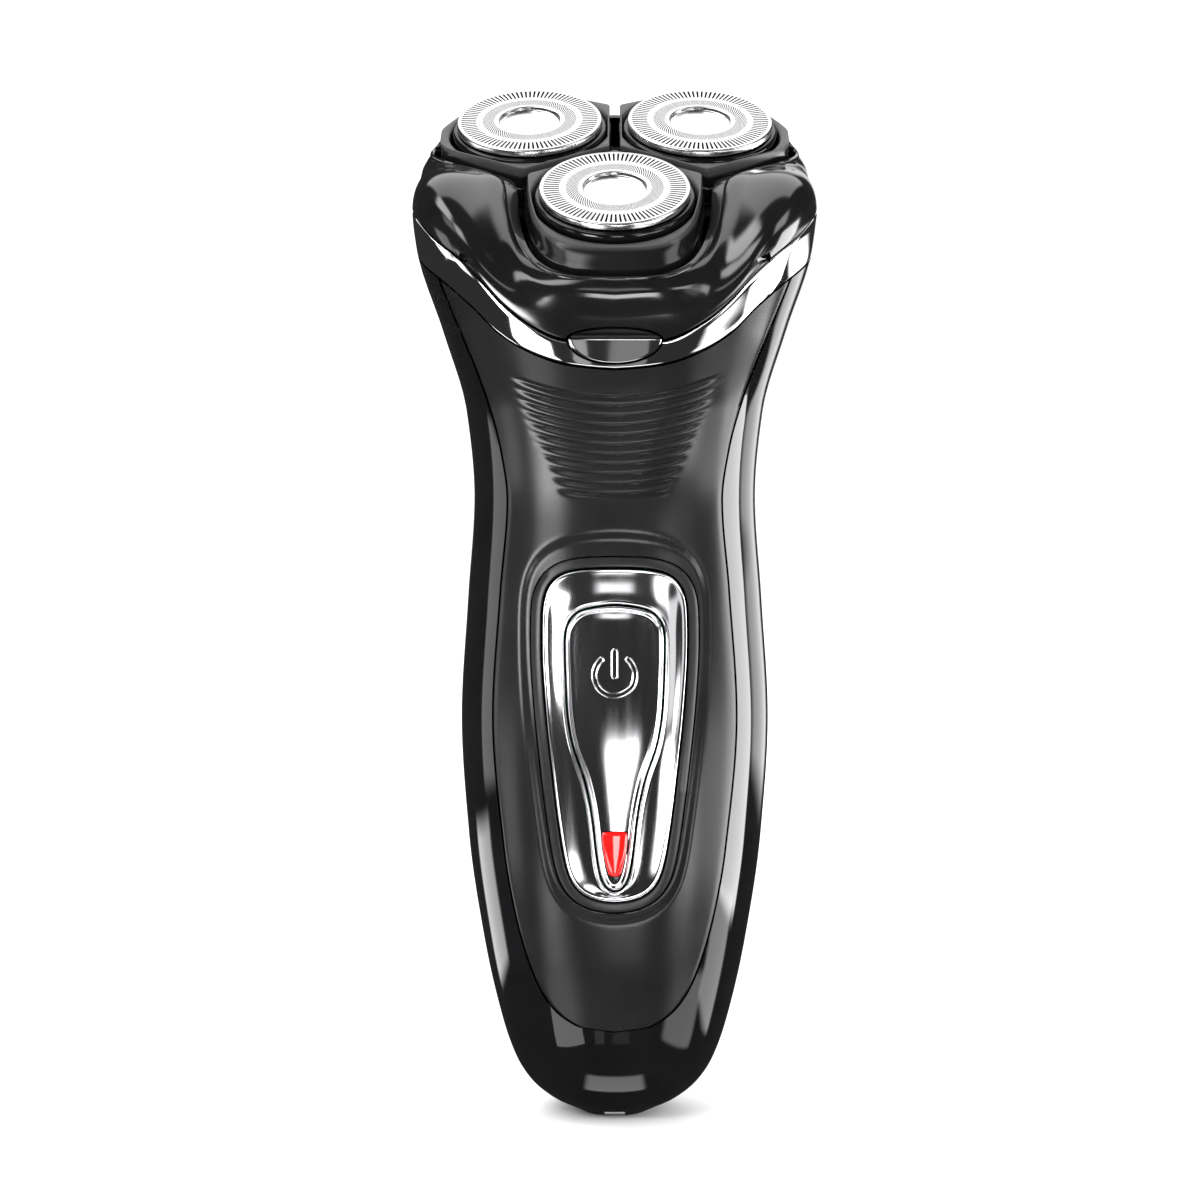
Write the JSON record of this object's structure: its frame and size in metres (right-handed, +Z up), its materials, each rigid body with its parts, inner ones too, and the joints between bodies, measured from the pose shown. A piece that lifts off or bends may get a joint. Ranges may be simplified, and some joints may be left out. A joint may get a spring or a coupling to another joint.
{
  "type": "rotary electric shaver",
  "caption": "Cordless rotary shaver with floating round cutting heads on a flip-open head, a curved handle, a slim switch panel and a pop-up trimmer.",
  "frame": {"origin": "middle of the shaver's footprint at the level of its flat base", "axes": "+Z up along the handle, -Y towards the front with the switch, +X to the right seen from the front"},
  "size_m": [0.0624, 0.0554, 0.1629],
  "materials": {
    "handle_gloss_black": "high gloss",
    "handle_satin_black": "semi gloss",
    "head_gloss_black": "high gloss",
    "bezel_black": "gloss",
    "holder_black": "semi gloss",
    "ring_gloss_black": "high gloss",
    "chrome_trim": "mirror chrome",
    "chrome_panel": "mirror chrome",
    "blade_steel": "bright ground steel",
    "bright_steel": "plain",
    "motor_steel": "plain",
    "contact_brass": "plain",
    "inner_plastic": "matte",
    "gear_plastic": "satin",
    "seal_rubber": "matte",
    "lens_red": "translucent gloss",
    "battery_wrap": "gloss",
    "board_green": "semi gloss"
  },
  "bodies": {
    "handle": {"back_shell": "handle_gloss_black", "front_shell": "handle_satin_black", "chrome_band": "chrome_trim", "trimmer_tray": "handle_gloss_black", "chassis": "inner_plastic", "battery": "battery_wrap", "battery_tab_top": "bright_steel", "battery_tab_bottom": "bright_steel", "circuit_board": "board_green", "switch_base": "inner_plastic", "switch_plunger": "inner_plastic", "indicator_led": "lens_red", "charging_socket": "inner_plastic", "socket_pin": "contact_brass", "case_screw_lower": "bright_steel", "case_screw_upper": "bright_steel", "switch_bezel": "bezel_black", "switch_panel": "chrome_panel", "deck_plate": "inner_plastic", "chamber_seal": "seal_rubber", "deck_screw_1": "bright_steel", "deck_screw_2": "bright_steel", "deck_screw_3": "bright_steel", "gear_plate": "inner_plastic", "motor": "motor_steel", "hinge_barrel": "inner_plastic", "hinge_pin": "bright_steel"},
    "head": {"head_housing": "head_gloss_black", "head_frame": "inner_plastic", "retaining_plate": "inner_plastic", "hinge_lug_left": "inner_plastic", "hinge_lug_right": "inner_plastic"},
    "lock_knob": {"lock_knob": "inner_plastic"},
    "rotor": {"motor_pinion": "contact_brass", "motor_shaft": "bright_steel"},
    "power_button": {"power_button": "chrome_panel", "indicator_lens": "lens_red"},
    "release_button": {"release_button": "chrome_trim"},
    "trimmer": {"trimmer_flap": "handle_gloss_black", "trimmer_comb": "blade_steel"},
    "trimmer_blade": {"trimmer_blade": "blade_steel"},
    "trimmer_slider": {"trimmer_slider": "handle_gloss_black"},
    "petal_front": {"petal_front": "holder_black"},
    "guard_front": {"guard_front": "blade_steel", "guard_ring_front": "ring_gloss_black"},
    "cutter_front": {"cutter_front": "blade_steel"},
    "spindle_front": {"drive_spindle_front": "inner_plastic", "drive_gear_front": "gear_plastic"},
    "petal_left": {"petal_left": "holder_black"},
    "guard_left": {"guard_left": "blade_steel", "guard_ring_left": "ring_gloss_black"},
    "cutter_left": {"cutter_left": "blade_steel"},
    "spindle_left": {"drive_spindle_left": "inner_plastic", "drive_gear_left": "gear_plastic"},
    "petal_right": {"petal_right": "holder_black"},
    "guard_right": {"guard_right": "blade_steel", "guard_ring_right": "ring_gloss_black"},
    "cutter_right": {"cutter_right": "blade_steel"},
    "spindle_right": {"drive_spindle_right": "inner_plastic", "drive_gear_right": "gear_plastic"}
  },
  "joints": [
    {"name": "head_open", "type": "hinge", "parent": "handle", "child": "head", "pos_m": [0, 0.02621, 0.1509], "axis": [-1, 0, 0], "range_deg": [0, 85]},
    {"name": "lock_knob_turn", "type": "hinge", "parent": "head", "child": "lock_knob", "pos_m": [0, -0.00169, 0.153], "axis": [0, -0.5299, 0.848], "range_deg": [0, 90]},
    {"name": "release_press", "type": "slide", "parent": "handle", "child": "release_button", "axis": [0, 1, 0], "range_m": [0, 0.0012], "stiffness_N_per_m": 400, "springref_m": -0.0005},
    {"name": "power_press", "type": "slide", "parent": "handle", "child": "power_button", "axis": [0, 1, 0], "range_m": [0, 0.0008], "stiffness_N_per_m": 500, "springref_m": -0.0005},
    {"name": "motor_spin", "type": "hinge", "parent": "handle", "child": "rotor", "pos_m": [0, -0.00169, 0.153], "axis": [0, -0.5299, 0.848], "continuous": true},
    {"name": "trimmer_pop", "type": "hinge", "parent": "handle", "child": "trimmer", "pos_m": [0, 0.01611, 0.085], "axis": [-1, 0, 0], "range_deg": [0, 70]},
    {"name": "trimmer_slide", "type": "slide", "parent": "handle", "child": "trimmer_slider", "axis": [0, 0, -1], "range_m": [0, 0.004]},
    {"name": "trimmer_stroke", "type": "slide", "parent": "trimmer", "child": "trimmer_blade", "axis": [1, 0, 0], "range_m": [-0.0008, 0.0008]},
    {"name": "petal_tilt_front", "type": "hinge", "parent": "head", "child": "petal_front", "pos_m": [0, -0.0116, 0.13974], "axis": [1, 0, 0], "range_deg": [-2.5, 2.5], "stiffness_Nm_per_rad": 0.03},
    {"name": "guard_float_front", "type": "slide", "parent": "petal_front", "child": "guard_front", "axis": [0, 0.5519, -0.8339], "range_m": [0, 0.001], "stiffness_N_per_m": 300, "springref_m": -0.001},
    {"name": "cutter_spin_front", "type": "hinge", "parent": "guard_front", "child": "cutter_front", "pos_m": [0, -0.01491, 0.14474], "axis": [0, -0.5519, 0.8339], "continuous": true},
    {"name": "spindle_spin_front", "type": "hinge", "parent": "handle", "child": "spindle_front", "pos_m": [0, -0.01491, 0.14474], "axis": [0, -0.5299, 0.848], "continuous": true},
    {"name": "petal_tilt_left", "type": "hinge", "parent": "head", "child": "petal_left", "pos_m": [-0.01337, 0.00803, 0.152], "axis": [-0.5, -0.7344, -0.4589], "range_deg": [-2.5, 2.5], "stiffness_Nm_per_rad": 0.03},
    {"name": "guard_float_left", "type": "slide", "parent": "petal_left", "child": "guard_left", "axis": [0.0227, 0.5186, -0.8547], "range_m": [0, 0.001], "stiffness_N_per_m": 300, "springref_m": -0.001},
    {"name": "cutter_spin_left", "type": "hinge", "parent": "guard_left", "child": "cutter_left", "pos_m": [-0.0135, 0.00492, 0.15713], "axis": [-0.0227, -0.5186, 0.8547], "continuous": true},
    {"name": "spindle_spin_left", "type": "hinge", "parent": "handle", "child": "spindle_left", "pos_m": [-0.0135, 0.00492, 0.15713], "axis": [0, -0.5299, 0.848], "continuous": true},
    {"name": "petal_tilt_right", "type": "hinge", "parent": "head", "child": "petal_right", "pos_m": [0.01337, 0.00803, 0.152], "axis": [-0.5, 0.7344, 0.4589], "range_deg": [-2.5, 2.5], "stiffness_Nm_per_rad": 0.03},
    {"name": "guard_float_right", "type": "slide", "parent": "petal_right", "child": "guard_right", "axis": [-0.0227, 0.5186, -0.8547], "range_m": [0, 0.001], "stiffness_N_per_m": 300, "springref_m": -0.001},
    {"name": "cutter_spin_right", "type": "hinge", "parent": "guard_right", "child": "cutter_right", "pos_m": [0.0135, 0.00492, 0.15713], "axis": [0.0227, -0.5186, 0.8547], "continuous": true},
    {"name": "spindle_spin_right", "type": "hinge", "parent": "handle", "child": "spindle_right", "pos_m": [0.0135, 0.00492, 0.15713], "axis": [0, -0.5299, 0.848], "continuous": true}
  ],
  "couplings": [
    {"joint": "trimmer_slide", "follows": "trimmer_pop", "m_per_rad": 0.00327},
    {"joint": "spindle_spin_front", "follows": "motor_spin", "ratio": -0.85714},
    {"joint": "cutter_spin_front", "follows": "motor_spin", "ratio": -0.85714},
    {"joint": "spindle_spin_left", "follows": "motor_spin", "ratio": -0.85714},
    {"joint": "cutter_spin_left", "follows": "motor_spin", "ratio": -0.85714},
    {"joint": "spindle_spin_right", "follows": "motor_spin", "ratio": -0.85714},
    {"joint": "cutter_spin_right", "follows": "motor_spin", "ratio": -0.85714}
  ]
}
